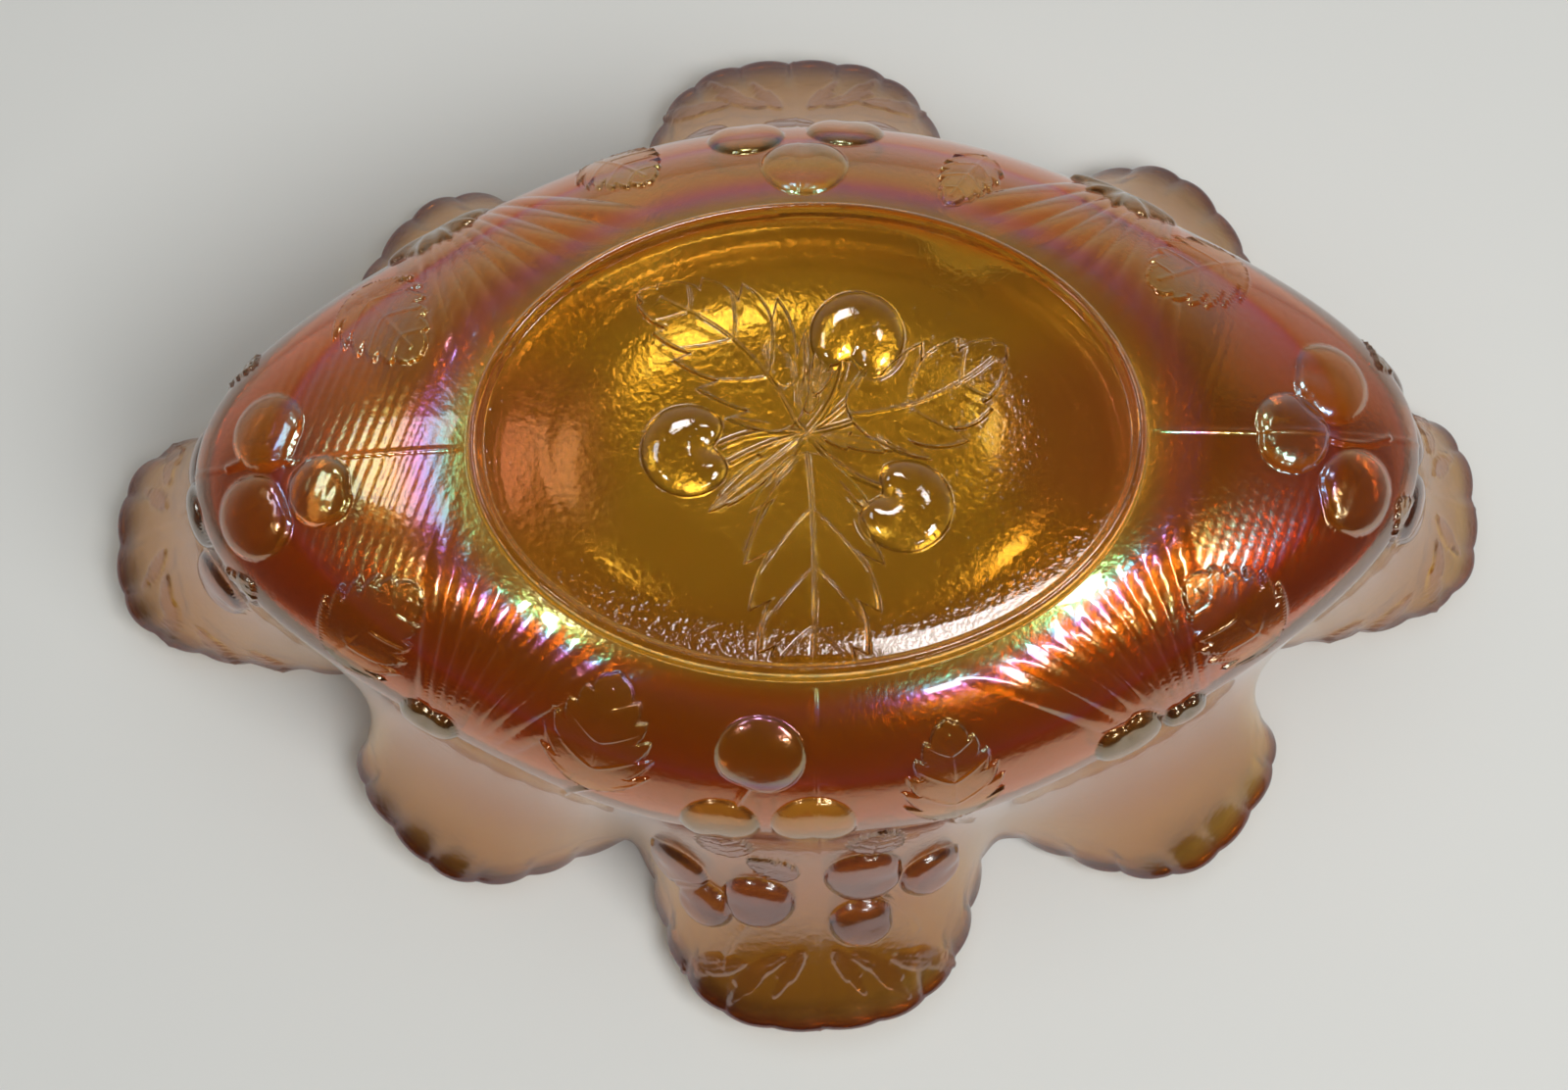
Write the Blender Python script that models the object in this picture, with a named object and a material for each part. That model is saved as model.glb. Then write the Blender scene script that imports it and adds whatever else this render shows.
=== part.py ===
"""Carnival glass bowl: one pressed piece of glass, oval, on a collar foot, with an eight-lobed rim.

The bowl stands on its foot ring with its mouth up. The origin is the middle of the foot's
plane, +X runs along the length, +Y across the width and +Z up. Units are metres.
"""
import math

import bmesh
import bpy
import numpy as np

MM = 0.001

# Overall sizes, over the tips of the lobes and from the foot's land to the top of the rim.
LENGTH = 305 * MM
WIDTH = 222 * MM
HEIGHT = 95 * MM

# Foot: a low collar, whose underside is sunk inside a narrow land.
FOOT_LENGTH = 131 * MM
FOOT_WIDTH = 94 * MM
COLLAR_HEIGHT = 4.5 * MM
COLLAR_FLARE = 1.2 * MM
LAND_WIDTH = 2 * MM
LAND_ROUND = 0.8 * MM
RECESS_DEPTH = 4 * MM
RECESS_SLOPE = 1 * MM

# Shoulder: the widest line of the body, under the wall. It is a lozenge with round corners.
SHOULDER_LENGTH = 248 * MM
SHOULDER_WIDTH = 150 * MM
SHOULDER_HEIGHT_END = 23 * MM
SHOULDER_HEIGHT_SIDE = 33 * MM
SHOULDER_LOZENGE = 0.085

# Rim: lobes at the ends, corners and sides, with narrow valleys between them.
CORNER_REACH = 117 * MM
CORNER_ANGLE = 34.0
END_VALLEY_REACH = 101 * MM
END_VALLEY_ANGLE = 18.5
SIDE_VALLEY_REACH = 82.5 * MM
SIDE_VALLEY_ANGLE = 60.0
LOBE_FULLNESS = 1.8
LOBE_DROP = 10 * MM

# Glass thickness.
BASE_WALL = 5 * MM
BELLY_WALL = 7 * MM
SHOULDER_WALL = 4.5 * MM
RIM_WALL = 3.2 * MM

# Inside floor: a flat oval, which a short slope joins to the belly.
FLOOR_LENGTH = 104 * MM
FLOOR_WIDTH = 76 * MM

# Curve of the body: how far each handle has gone across and up, as shares of its run.
BELLY_HANDLES = ((0.45, 0.15), (0.95, 0.55))
WALL_HANDLES = ((0.05, 0.35), (0.45, 0.80))

# Fineness of the mesh.
COLUMNS_PER_HALF_LOBE = 7
BELLY_ROWS = 7
WALL_ROWS = 9
ROUND_ROWS = 3
UNDERSIDE_RINGS = (0.4, 0.75, 1.0)
FLOOR_RINGS = (1.0, 0.7, 0.35)
SHARP_EDGE = 40.0

# Step, in shares of a run and in radians, over which the surface's direction is measured.
STEP = 0.002

GLASS_COLOUR = (0.42, 0.14, 0.02, 1.0)


def bezier(a, b, c, d, u):
    """Point of a cubic curve through a and d, with handles b and c."""
    v = 1 - u
    return v ** 3 * a + 3 * v * v * u * b + 3 * v * u * u * c + u ** 3 * d


def folded(angle):
    """The angle's equal in the first quadrant, in degrees: all four quadrants are alike."""
    return math.degrees(math.acos(min(1.0, abs(math.cos(angle)))))


def oval(angle, length, width, lozenge=0.0):
    """Point at this polar angle on an ellipse whose diagonals are drawn in."""
    phase = math.atan2(math.sin(angle) / width, math.cos(angle) / length)
    reach = 0.5 * (1 - lozenge * math.sin(2 * phase) ** 2)
    return np.array((length * math.cos(phase) * reach, width * math.sin(phase) * reach, 0.0))


def rim_reach(angle):
    """Distance of the rim from the middle, and how far out on a lobe it is (1 at a tip)."""
    lobes = ((0.0, LENGTH / 2), (CORNER_ANGLE, CORNER_REACH), (90.0, WIDTH / 2))
    valleys = ((END_VALLEY_ANGLE, END_VALLEY_REACH), (SIDE_VALLEY_ANGLE, SIDE_VALLEY_REACH))
    here = folded(angle)
    tip = lobes[(here > END_VALLEY_ANGLE) + (here > SIDE_VALLEY_ANGLE)]
    valley = valleys[here > CORNER_ANGLE]
    share = min(1.0, abs(here - tip[0]) / abs(valley[0] - tip[0]))
    out = math.cos(math.pi / 2 * share ** LOBE_FULLNESS) ** 2
    return valley[1] + (tip[1] - valley[1]) * out, out


def shoulder_point(angle):
    """Point on the shoulder line, which stands higher at the sides than at the ends."""
    point = oval(angle, SHOULDER_LENGTH, SHOULDER_WIDTH, SHOULDER_LOZENGE)
    phase = math.atan2(point[1] / SHOULDER_WIDTH, point[0] / SHOULDER_LENGTH)
    ends = math.cos(phase) ** 2
    point[2] = SHOULDER_HEIGHT_END * ends + SHOULDER_HEIGHT_SIDE * (1 - ends)
    return point


def rim_point(angle):
    """Outer edge of the rim: a lobe leans out, so it stands lower than a valley."""
    reach, out = rim_reach(angle)
    height = HEIGHT - RIM_WALL / 2 - LOBE_DROP * out
    return np.array((reach * math.cos(angle), reach * math.sin(angle), height))


def collar_point(angle):
    """Top edge of the collar, where the belly starts."""
    point = oval(angle, FOOT_LENGTH + 2 * COLLAR_FLARE, FOOT_WIDTH + 2 * COLLAR_FLARE)
    point[2] = COLLAR_HEIGHT
    return point


def outer(t, angle):
    """Outer surface: the belly for t from 0 to 1, and the wall above it for t from 1 to 2."""
    shoulder = shoulder_point(angle)
    if t <= 1:
        start, end, shares = collar_point(angle), shoulder, BELLY_HANDLES
    else:
        start, end, shares = shoulder, rim_point(angle), WALL_HANDLES
    run = end - start
    handles = [start + run * (across, across, up) for across, up in shares]
    return bezier(start, handles[0], handles[1], end, t if t <= 1 else t - 1)


def inward(t, angle):
    """Direction at right angles to the outer surface, into the bowl."""
    low, high = max(t - STEP, 0.0), min(t + STEP, 2.0)
    along = outer(high, angle) - outer(low, angle)
    around = outer(t, angle + STEP) - outer(t, angle - STEP)
    normal = np.cross(along, around)
    return normal / np.linalg.norm(normal)


def thickness(t):
    """Glass thickness, from the collar to the rim."""
    if t <= 1:
        return BELLY_WALL + (SHOULDER_WALL - BELLY_WALL) * t
    return SHOULDER_WALL + (RIM_WALL - SHOULDER_WALL) * (t - 1)


def inner(t, angle):
    """Inner surface, facing the outer surface across the glass."""
    return outer(t, angle) + inward(t, angle) * thickness(t)


def rim_round(turn, angle):
    """Round edge from the outer surface, at a turn of 0, over the rim to the inner one."""
    first, last = outer(2.0, angle), inner(2.0, angle)
    middle, radius = (first + last) / 2, np.linalg.norm(last - first) / 2
    across = (last - first) / (2 * radius)
    around = outer(2.0, angle + STEP) - outer(2.0, angle - STEP)
    up = np.cross(around, across)
    up /= np.linalg.norm(up)
    if up[2] < 0:
        up = -up
    return middle + radius * (up * math.sin(turn) - across * math.cos(turn))


def foot_ring(inset, height):
    """Section of the foot, a given distance inside the outer edge of its land."""
    def section(angle):
        point = oval(angle, FOOT_LENGTH - 2 * inset, FOOT_WIDTH - 2 * inset)
        point[2] = height
        return point
    return section


def floor_ring(share):
    """Section of the inside floor."""
    def section(angle):
        point = oval(angle, FLOOR_LENGTH * share, FLOOR_WIDTH * share)
        point[2] = RECESS_DEPTH + BASE_WALL
        return point
    return section


def sections():
    """Every section of the glass, from the underside's middle round the rim to the floor's."""
    rings = []
    for share in UNDERSIDE_RINGS:
        sunk = (1 - share) * (FOOT_WIDTH / 2 - LAND_WIDTH - RECESS_SLOPE)
        rings.append(foot_ring(LAND_WIDTH + RECESS_SLOPE + sunk, RECESS_DEPTH))
    rings.append(foot_ring(LAND_WIDTH, 0.0))
    rings.append(foot_ring(0.0, 0.0))
    rings.append(foot_ring(-LAND_ROUND, LAND_ROUND))
    outside = [row / BELLY_ROWS for row in range(BELLY_ROWS)]
    outside += [1 + row / WALL_ROWS for row in range(WALL_ROWS + 1)]
    for t in outside:
        rings.append(lambda angle, t=t: outer(t, angle))
    for row in range(1, ROUND_ROWS + 1):
        turn = math.pi * row / (ROUND_ROWS + 1)
        rings.append(lambda angle, turn=turn: rim_round(turn, angle))
    for t in reversed(outside):
        rings.append(lambda angle, t=t: inner(t, angle))
    for share in FLOOR_RINGS:
        rings.append(floor_ring(share))
    return rings


def column_angles():
    """Polar angles of the columns, so that every tip and every valley has one."""
    marks = [0.0, END_VALLEY_ANGLE, CORNER_ANGLE, SIDE_VALLEY_ANGLE, 90.0]
    quarter = []
    for low, high in zip(marks, marks[1:]):
        for column in range(COLUMNS_PER_HALF_LOBE):
            quarter.append(low + (high - low) * column / COLUMNS_PER_HALF_LOBE)
    angles = quarter + [180 - a for a in [90.0] + quarter[:0:-1]]
    angles += [180 + a for a in angles]
    return [math.radians(a) for a in angles]


def loft(name, rings, angles, bottom, top):
    """Closed mesh through the rings in order, with a fan at each end."""
    bm = bmesh.new()
    rows = [[bm.verts.new(ring(angle)) for angle in angles] for ring in rings]
    count = len(angles)
    for low, high in zip(rows, rows[1:]):
        for i in range(count):
            j = (i + 1) % count
            bm.faces.new((low[i], low[j], high[j], high[i]))
    for row, centre in ((rows[0], bottom), (rows[-1], top)):
        hub = bm.verts.new(centre)
        for i in range(count):
            bm.faces.new((row[i], row[(i + 1) % count], hub))
    bmesh.ops.recalc_face_normals(bm, faces=bm.faces)
    mesh = bpy.data.meshes.new(name)
    bm.to_mesh(mesh)
    bm.free()
    mesh.shade_smooth()
    mesh.set_sharp_from_angle(angle=math.radians(SHARP_EDGE))
    return mesh


def glass_material():
    """Marigold glass: amber glass that was sprayed with metal salts while hot."""
    material = bpy.data.materials.new("marigold_glass")
    material.use_nodes = True
    shader = material.node_tree.nodes["Principled BSDF"]
    shader.inputs["Base Color"].default_value = GLASS_COLOUR
    shader.inputs["Roughness"].default_value = 0.08
    shader.inputs["Metallic"].default_value = 0.0
    shader.inputs["IOR"].default_value = 1.52
    shader.inputs["Transmission Weight"].default_value = 0.7
    return material


def build():
    """The whole object: the bowl is one piece of glass."""
    for item in list(bpy.data.objects):
        bpy.data.objects.remove(item, do_unlink=True)
    collection = bpy.data.collections.new("carnival_glass_bowl")
    bpy.context.scene.collection.children.link(collection)
    underside = (0.0, 0.0, RECESS_DEPTH)
    floor = (0.0, 0.0, RECESS_DEPTH + BASE_WALL)
    mesh = loft("glass_bowl", sections(), column_angles(), underside, floor)
    mesh.materials.append(glass_material())
    collection.objects.link(bpy.data.objects.new("glass_bowl", mesh))


build()
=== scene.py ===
import math

import bpy
import numpy as np
from mathutils import Matrix, Vector


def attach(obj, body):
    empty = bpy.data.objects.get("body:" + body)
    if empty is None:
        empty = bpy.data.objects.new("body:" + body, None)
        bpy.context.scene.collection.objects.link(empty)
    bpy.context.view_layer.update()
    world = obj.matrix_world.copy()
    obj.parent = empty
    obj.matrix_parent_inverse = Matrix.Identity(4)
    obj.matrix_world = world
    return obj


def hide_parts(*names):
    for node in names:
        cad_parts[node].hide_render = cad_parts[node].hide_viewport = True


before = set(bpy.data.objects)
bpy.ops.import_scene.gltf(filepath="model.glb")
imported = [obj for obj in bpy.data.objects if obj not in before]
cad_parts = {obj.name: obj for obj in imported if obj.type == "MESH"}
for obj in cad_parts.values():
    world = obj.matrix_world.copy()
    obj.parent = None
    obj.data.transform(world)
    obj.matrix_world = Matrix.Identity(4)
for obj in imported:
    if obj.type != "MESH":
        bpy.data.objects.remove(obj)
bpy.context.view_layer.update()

MM = 0.001

# Sizes of the glass. All but the land's width are the same as in the CAD part.
LENGTH, WIDTH, HEIGHT = 305 * MM, 222 * MM, 95 * MM
FOOT_LENGTH, FOOT_WIDTH = 131 * MM, 94 * MM
COLLAR_HEIGHT, COLLAR_FLARE = 4.5 * MM, 1.2 * MM
LAND_WIDTH = 1.2 * MM
RECESS_DEPTH, RECESS_SLOPE = 4 * MM, 1 * MM
SHOULDER_LENGTH, SHOULDER_WIDTH = 248 * MM, 150 * MM
SHOULDER_END, SHOULDER_SIDE = 23 * MM, 33 * MM
SHOULDER_LOZENGE = 0.085
CORNER_REACH, END_VALLEY_REACH, SIDE_VALLEY_REACH = 117 * MM, 101 * MM, 82.5 * MM
CORNER_ANGLE, END_VALLEY_ANGLE, SIDE_VALLEY_ANGLE = 34.0, 18.5, 60.0
LOBE_FULLNESS, LOBE_DROP = 1.8, 10 * MM
BASE_WALL, BELLY_WALL, SHOULDER_WALL, RIM_WALL = 5 * MM, 7 * MM, 4.5 * MM, 3.2 * MM
FLOOR_LENGTH, FLOOR_WIDTH = 104 * MM, 76 * MM
FLOOR_HEIGHT = RECESS_DEPTH + BASE_WALL

# Curve of the body: how far each handle has gone across and up, as shares of its run.
BELLY_HANDLES = ((0.45, 0.45, 0.15), (0.95, 0.95, 0.55))
WALL_HANDLES = ((0.05, 0.05, 0.35), (0.45, 0.45, 0.80))

# Where the inside floor and the underside start to curve, as shares of their radius, and by how much.
FLOOR_FLAT, FLOOR_DISH = 0.55, 1.5 * MM
UNDERSIDE_FLAT, COVE = 0.66, 1.5 * MM

# Uneven ruffling by hand: the corners to the sides, the corners to the ends, and the two ends.
RUFFLE_SIDES, RUFFLE_CORNERS, RUFFLE_ENDS = 0.03, 0.022, 0.014

# Scallops of the rim, mould seams, and the ripples where the hot glass first touched the mould.
SCALLOP_SPACING, SCALLOP_DEPTH, SCALLOP_START = 11.5 * MM, 1.2 * MM, 1.84
SEAM_HEIGHT, SEAM_WIDTH = 0.22 * MM, 0.4 * MM
RIPPLE_HEIGHT, RIPPLE_WAVE = 0.028 * MM, 2.4 * MM

# Fineness of the mesh: columns, and rows of each run of the section.
COLUMNS = 1280
ROW_SHARE = 1.0
UNDERSIDE_ROWS, BELLY_ROWS, WALL_ROWS, ROUND_ROWS = 260, 180, 120, 7
INNER_WALL_ROWS, INNER_BELLY_ROWS, SLOPE_ROWS, FLOOR_ROWS = 60, 34, 12, 46

# Step, in shares of a run and in radians, over which the surface's direction is measured.
STEP = 0.002


# ---------------------------------------------------------------- shape of the glass

def bezier(a, b, c, d, u):
    """Points of a cubic curve through a and d, with handles b and c."""
    v = 1 - u
    return v ** 3 * a + 3 * v * v * u * b + 3 * v * u * u * c + u ** 3 * d


def smooth(low, high, x):
    """0 below low, 1 above high, with a soft step between."""
    u = np.clip((x - low) / (high - low), 0, 1)
    return u * u * (3 - 2 * u)


def oval(angle, length, width, lozenge=0.0):
    """Points at these polar angles on an ellipse whose diagonals are drawn in."""
    phase = np.arctan2(np.sin(angle) / width, np.cos(angle) / length)
    reach = 0.5 * (1 - lozenge * np.sin(2 * phase) ** 2)
    x, y = length * np.cos(phase) * reach, width * np.sin(phase) * reach
    return np.stack([x, y, 0 * x], -1), phase


def rim_reach(angle):
    """Distance of the rim from the middle, and how far out on a lobe it is."""
    here = np.degrees(np.arccos(np.clip(np.abs(np.cos(angle)), 0, 1)))
    end, corner, side = (0.0, LENGTH / 2), (CORNER_ANGLE, CORNER_REACH), (90.0, WIDTH / 2)
    low, high = (END_VALLEY_ANGLE, END_VALLEY_REACH), (SIDE_VALLEY_ANGLE, SIDE_VALLEY_REACH)
    reach, out = np.zeros_like(here), np.zeros_like(here)
    for tip, valley in ((end, low), (corner, low), (corner, high), (side, high)):
        span = (here >= min(tip[0], valley[0])) & (here <= max(tip[0], valley[0]))
        share = np.clip(np.abs(here - tip[0]) / abs(valley[0] - tip[0]), 0, 1)
        lean = np.cos(np.pi / 2 * share ** LOBE_FULLNESS) ** 2
        reach = np.where(span, valley[1] + (tip[1] - valley[1]) * lean, reach)
        out = np.where(span, lean, out)
    # The ruffles were bent by hand, so no two corners are quite alike.
    corners = np.sin(2 * angle) ** 2
    reach = reach * (1 + corners * (RUFFLE_SIDES * np.sin(angle) - RUFFLE_CORNERS * np.cos(angle)))
    reach = reach * (1 + RUFFLE_ENDS * np.cos(angle) * (1 - corners))
    return reach, out


def outer(t, angle):
    """Outer surface: the belly for t from 0 to 1, and the wall above it for t from 1 to 2."""
    collar, _ = oval(angle, FOOT_LENGTH + 2 * COLLAR_FLARE, FOOT_WIDTH + 2 * COLLAR_FLARE)
    collar[..., 2] = COLLAR_HEIGHT
    shoulder, phase = oval(angle, SHOULDER_LENGTH, SHOULDER_WIDTH, SHOULDER_LOZENGE)
    ends = np.cos(phase) ** 2
    shoulder[..., 2] = SHOULDER_END * ends + SHOULDER_SIDE * (1 - ends)
    reach, out = rim_reach(angle)
    height = HEIGHT - RIM_WALL / 2 - LOBE_DROP * out
    rim = np.stack([reach * np.cos(angle), reach * np.sin(angle), height], -1)
    low = np.clip(t, 0, 1)[..., None]
    high = np.clip(t - 1, 0, 1)[..., None]
    belly_run, wall_run = shoulder - collar, rim - shoulder
    belly_handles = [collar + belly_run * shares for shares in BELLY_HANDLES]
    wall_handles = [shoulder + wall_run * shares for shares in WALL_HANDLES]
    belly = bezier(collar, *belly_handles, shoulder, low)
    wall = bezier(shoulder, *wall_handles, rim, high)
    return np.where(t[..., None] <= 1, belly, wall)


def steepness(moved, normals):
    """How far a displaced grid leans away from its plain surface: 0 up to 26 degrees, 1 from 60."""
    along = np.gradient(moved, axis=0)
    around = np.roll(moved, -1, 1) - np.roll(moved, 1, 1)
    tilted = np.cross(around, along)
    tilted /= np.maximum(np.linalg.norm(tilted, axis=-1, keepdims=True), 1e-12)
    return smooth(0.10, 0.50, 1 - np.abs((tilted * normals).sum(-1)))


def outward(t, angle):
    """Directions at right angles to the outer surface, away from the bowl."""
    low, high = np.maximum(t - STEP, 0), np.minimum(t + STEP, 2)
    along = outer(high, angle) - outer(low, angle)
    around = outer(t, angle + STEP) - outer(t, angle - STEP)
    normal = np.cross(around, along)
    return normal / np.linalg.norm(normal, axis=-1, keepdims=True)


# ---------------------------------------------------------------- pressed relief

def frame_at(angle, t):
    """A place on the outer surface: its point, the way to the rim and the way round."""
    turned, share = np.array(math.radians(angle)), np.array(float(t))
    step = 0.01
    point = outer(share, turned)
    rimward = outer(share + step, turned) - outer(share - step, turned)
    rimward /= np.linalg.norm(rimward)
    normal = outward(share, turned)
    return point, rimward, np.cross(rimward, normal)


class Relief:
    """Height of the pressed pattern over a set of points, added up motif by motif."""

    def __init__(self, points, normals):
        self.points, self.normals = points, normals
        self.height = np.zeros(points.shape[:-1])
        self.marks = np.zeros(points.shape[:-1])

    def near(self, place, turn, reach, shift=0.0):
        """Points near a place, measured along a direction turned from its first axis."""
        centre, first, second = place
        up = np.cross(second, first)
        offset = self.points - centre
        mask = (offset ** 2).sum(-1) < reach * reach
        mask &= (self.normals @ up) > 0.3
        c, s = math.cos(math.radians(turn)), math.sin(math.radians(turn))
        along, across = c * first + s * second, c * second - s * first
        return mask, offset[mask] @ along - shift, offset[mask] @ across

    def raise_to(self, mask, height, mark=None):
        self.height[mask] = np.maximum(self.height[mask], height)
        if mark is not None:
            self.marks[mask] = np.maximum(self.marks[mask], mark)

    def add(self, mask, height):
        self.height[mask] += height

    def cherry(self, place, turn, radius, height=2.2 * MM, notch=0.3):
        """A round fruit with a notch where its stalk joins, towards turn."""
        mask, p, q = self.near(place, turn, radius * 1.6)
        away = np.hypot(p, q)
        round_to = np.arctan2(q, p)
        edge = radius * (1 - notch * np.exp(-(round_to / 0.42) ** 2))
        share = away / edge
        dome = np.clip(1 - share ** 3.4, 0, 1) ** 0.6
        # The notch runs on as a dent in the dome, and a groove goes round it.
        dent = notch * np.exp(-((p - 0.45 * radius) ** 2 + q * q) / (0.30 * radius) ** 2)
        self.add(mask, -0.40 * MM * np.exp(-((away - edge - 0.45 * MM) / (0.45 * MM)) ** 2))
        self.raise_to(mask, height * (dome - dent * dome), (share < 1.0) * 1.0)

    def leaf(self, place, turn, length, width, height=0.8 * MM, teeth=6, veins=4, bend=0.0,
             start=0.0):
        """A toothed leaf with a thin raised border, from its stalk to its tip along turn."""
        mask, p, q = self.near(place, turn, (length + start) * 1.2, start)
        u = p / length
        inside = np.clip(u, 0, 1)
        q = q - bend * length * 4 * inside * (1 - inside)
        # Half of its width, which is full at two fifths of its length, with teeth towards the tip.
        half = width / 2 * np.sin(np.pi * inside ** 0.72) ** 0.6
        saw = (((inside - 0.5 * np.abs(q) / length) * teeth + 0.4) % 1.0) ** 0.6
        half = half * (0.68 + 0.38 * saw)
        gap = half - np.abs(q)
        on = (u > 0) * (u < 1)
        # The blade is a flat step with a border and veins on it, and a groove goes round it.
        blade = smooth(0.0, 0.40 * MM, gap) * on
        border = np.exp(-((gap - 0.45 * MM) / (0.25 * MM)) ** 2) * on
        trench = np.exp(-((gap + 0.30 * MM) / (0.35 * MM)) ** 2) * on
        middle = np.exp(-(q / (0.30 * MM)) ** 2) * (u > -0.05) * (u < 0.9)
        slant = (inside - 0.28 * (2 * np.abs(q) / width) ** 1.3) * veins + 0.5
        side = np.exp(-((slant % 1.0 - 0.5) / veins * length / (0.22 * MM)) ** 2)
        side = side * (u > 0.10) * (u < 0.85) * smooth(0.6 * MM, 1.4 * MM, gap)
        self.add(mask, -0.30 * height * trench * (1 - blade))
        shape = blade * 0.70 + 0.30 * border + 0.30 * np.maximum(middle, 0.8 * side) * blade
        self.raise_to(mask, height * shape, blade)

    def stalk(self, place, turn, length, bend=0.0, width=0.6 * MM, height=0.6 * MM, start=0.0):
        """A thin stem that bows to one side."""
        mask, p, q = self.near(place, turn, (length + start) * 1.2, start)
        u = np.clip(p / length, 0, 1)
        line = bend * length * 4 * u * (1 - u)
        away = np.hypot(q - line, np.maximum(np.maximum(-p, p - length), 0))
        self.raise_to(mask, height * np.exp(-(away / width) ** 2))

    def fan(self, hub, first, spread, count, share, height=0.75 * MM):
        """Round ribs that spread over the belly from a hub towards the foot."""
        x, y = self.points[..., 0] - hub[0], self.points[..., 1] - hub[1]
        away = np.hypot(x, y)
        # Which rib each point is on, from 0 to count, and how far across it, from -1 to 1.
        lean = (np.degrees(np.arctan2(y, x)) - first + 180) % 360 - 180
        lean = lean * np.sign(spread)
        place = lean / abs(spread) * count
        inside = (place > 0) & (place < count) & (away < 105 * MM) & (share < 0.97)
        across = 2 * (place % 1.0) - 1
        rib = np.clip(1 - across ** 2, 0, 1) ** 0.75
        tail = smooth(0.93, 0.70, share)
        # Each rib has a round end, just short of the foot.
        tip = smooth(0.0, 15 * MM, share * 45 * MM - 0.8 * MM - 3 * MM * across ** 2)
        far = 1 - smooth(78 * MM, 95 * MM, away)
        grown = np.clip(away / (45 * MM), 0.3, 1.0)
        self.height += inside * rib * tail * tip * far * height * grown

    def shell(self, place, turn, radius):
        """The ruffled knot that a fan opens from."""
        mask, p, q = self.near(place, turn, radius * 1.5)
        around = np.arctan2(q, p)
        edge = radius * (1 + 0.10 * np.cos(9 * around) + 0.05 * np.cos(17 * around + 1))
        away = np.hypot(p, q * 0.72) / edge
        body = np.sqrt(np.clip(1 - away ** 3, 0, 1))
        folds = 0.25 * np.cos(9 * around) * np.clip(away, 0, 1)
        self.raise_to(mask, 2.0 * MM * body * (0.85 + folds), (away < 1.0) * 1.0)


# Motifs of the underside: turns in degrees from +X towards +Y, then sizes in mm, about one hub.
MEDALLION_LEAVES = (  # turn, length, width, teeth, veins, bend, start
    (42, 41, 24, 5, 4, 0.12, 3), (157.5, 34, 23, 4, 3, 0.10, 9), (-88, 58, 26, 6, 5, -0.03, 4))
MEDALLION_LEAFLETS = (  # turn, start, length, width
    (95, 4, 9, 4), (103, 8, 14, 5), (-38, 2, 23, 6), (193, 3, 15, 4), (70, 10, 10, 4))
MEDALLION_CHERRIES = (  # turn, distance, radius, turn of the notch
    (118, 22, 9.3, -75), (-7, 23.5, 9.3, 174), (-141, 24, 9.3, 28))
MEDALLION_STALKS = ((165, 12), (42, 8), (-62, 26), (-20, 16), (140, 14))  # turn, length
LEAF_HEIGHT, LEAFLET_HEIGHT, CHERRY_HEIGHT = 1.3 * MM, 0.9 * MM, 2.4 * MM

# Motifs of the belly and the wall: polar angle, share of the way up, turn from the way to the rim
# and sizes in mm. Fans have a hub in mm, a first direction and a spread.
FANS = ((82, -65, 100, 63), (-82, -65, 80, -63), (82, 65, -100, -63), (-82, 65, -80, 63))
FAN_RIBS = 9
KNOTS, KNOT_RADIUS = ((34, 0.93), (141, 0.88)), 8 * MM
HUB_CHERRIES = ((327, 0.97, 6.5), (222.5, 0.90, 7.5), (215, 0.98, 5))
LEAVES = (
    (22, 0.72, 200, 24, 20), (339, 0.88, 190, 24, 20), (57, 0.80, 160, 20, 18),
    (305, 0.82, 175, 26, 22), (157, 0.74, 190, 24, 19), (203, 0.86, 170, 24, 20),
    (122, 0.60, 185, 20, 12), (249, 0.95, 185, 24, 20),
    (283, 1.25, 165, 14, 12), (262, 1.22, 195, 14, 12), (273, 1.35, 120, 12, 8),
    (10, 1.12, 160, 13, 11), (350, 1.12, 200, 13, 11), (170, 1.12, 160, 13, 11), (188, 1.12, 200, 13, 11),
    (98, 1.20, 165, 14, 12), (78, 1.22, 195, 14, 12))
CHERRIES = (
    (3.5, 0.57, 200, 8), (354.5, 0.64, 160, 8.5), (356, 0.40, 180, 7),
    (180, 0.38, 180, 8), (174, 0.55, 200, 8.5), (186, 0.62, 160, 8.5),
    (280, 0.38, 20, 8.8), (285, 0.86, 0, 8), (270.5, 0.82, 0, 8.5),
    (91, 0.28, 0, 8.8), (81, 0.60, 0, 8), (98, 0.66, 0, 8),
    (291, 1.48, 90, 8), (278.5, 1.50, 90, 8), (263, 1.36, -90, 8.5), (253, 1.46, -90, 7.5),
    (264, 1.60, -90, 7), (286, 1.60, 90, 7),
    (89, 1.42, 90, 8), (76, 1.50, 90, 8), (103, 1.48, -90, 8),
    (4, 1.25, 90, 8), (357, 1.10, 0, 7), (352, 1.35, -90, 8), (8, 1.45, 90, 6.5),
    (184, 1.30, 90, 8), (176, 1.36, -90, 8), (172, 1.15, 0, 6.5))
STALKS = (
    (280, 0.50, 10, 20, 0.10), (285, 0.97, 200, 10, 0.1), (270, 0.92, 160, 10, -0.1),
    (291, 1.56, 30, 18, 0.1), (278, 1.58, 20, 18, 0.1), (263, 1.45, -30, 20, -0.1),
    (305, 0.84, 20, 12, 0.1), (249, 0.98, -20, 12, 0.1),
    (180, 0.46, 0, 16, 0.1), (0, 0.48, 0, 14, 0.1))
SPRIGS = tuple(
    (middle + side * step, t, side * turn, 15, 4.5)
    for middle in (0, 90, 180, 270) for side in (-1, 1)
    for step, t, turn in ((2, 1.70, 25), (4, 1.72, 50), (6.5, 1.76, 30), (9, 1.78, 60), (12, 1.80, 45)))
BELLY_CHERRY_HEIGHT, WALL_CHERRY_HEIGHT, SPRIG_HEIGHT = 1.9 * MM, 2.8 * MM, 0.5 * MM


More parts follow.
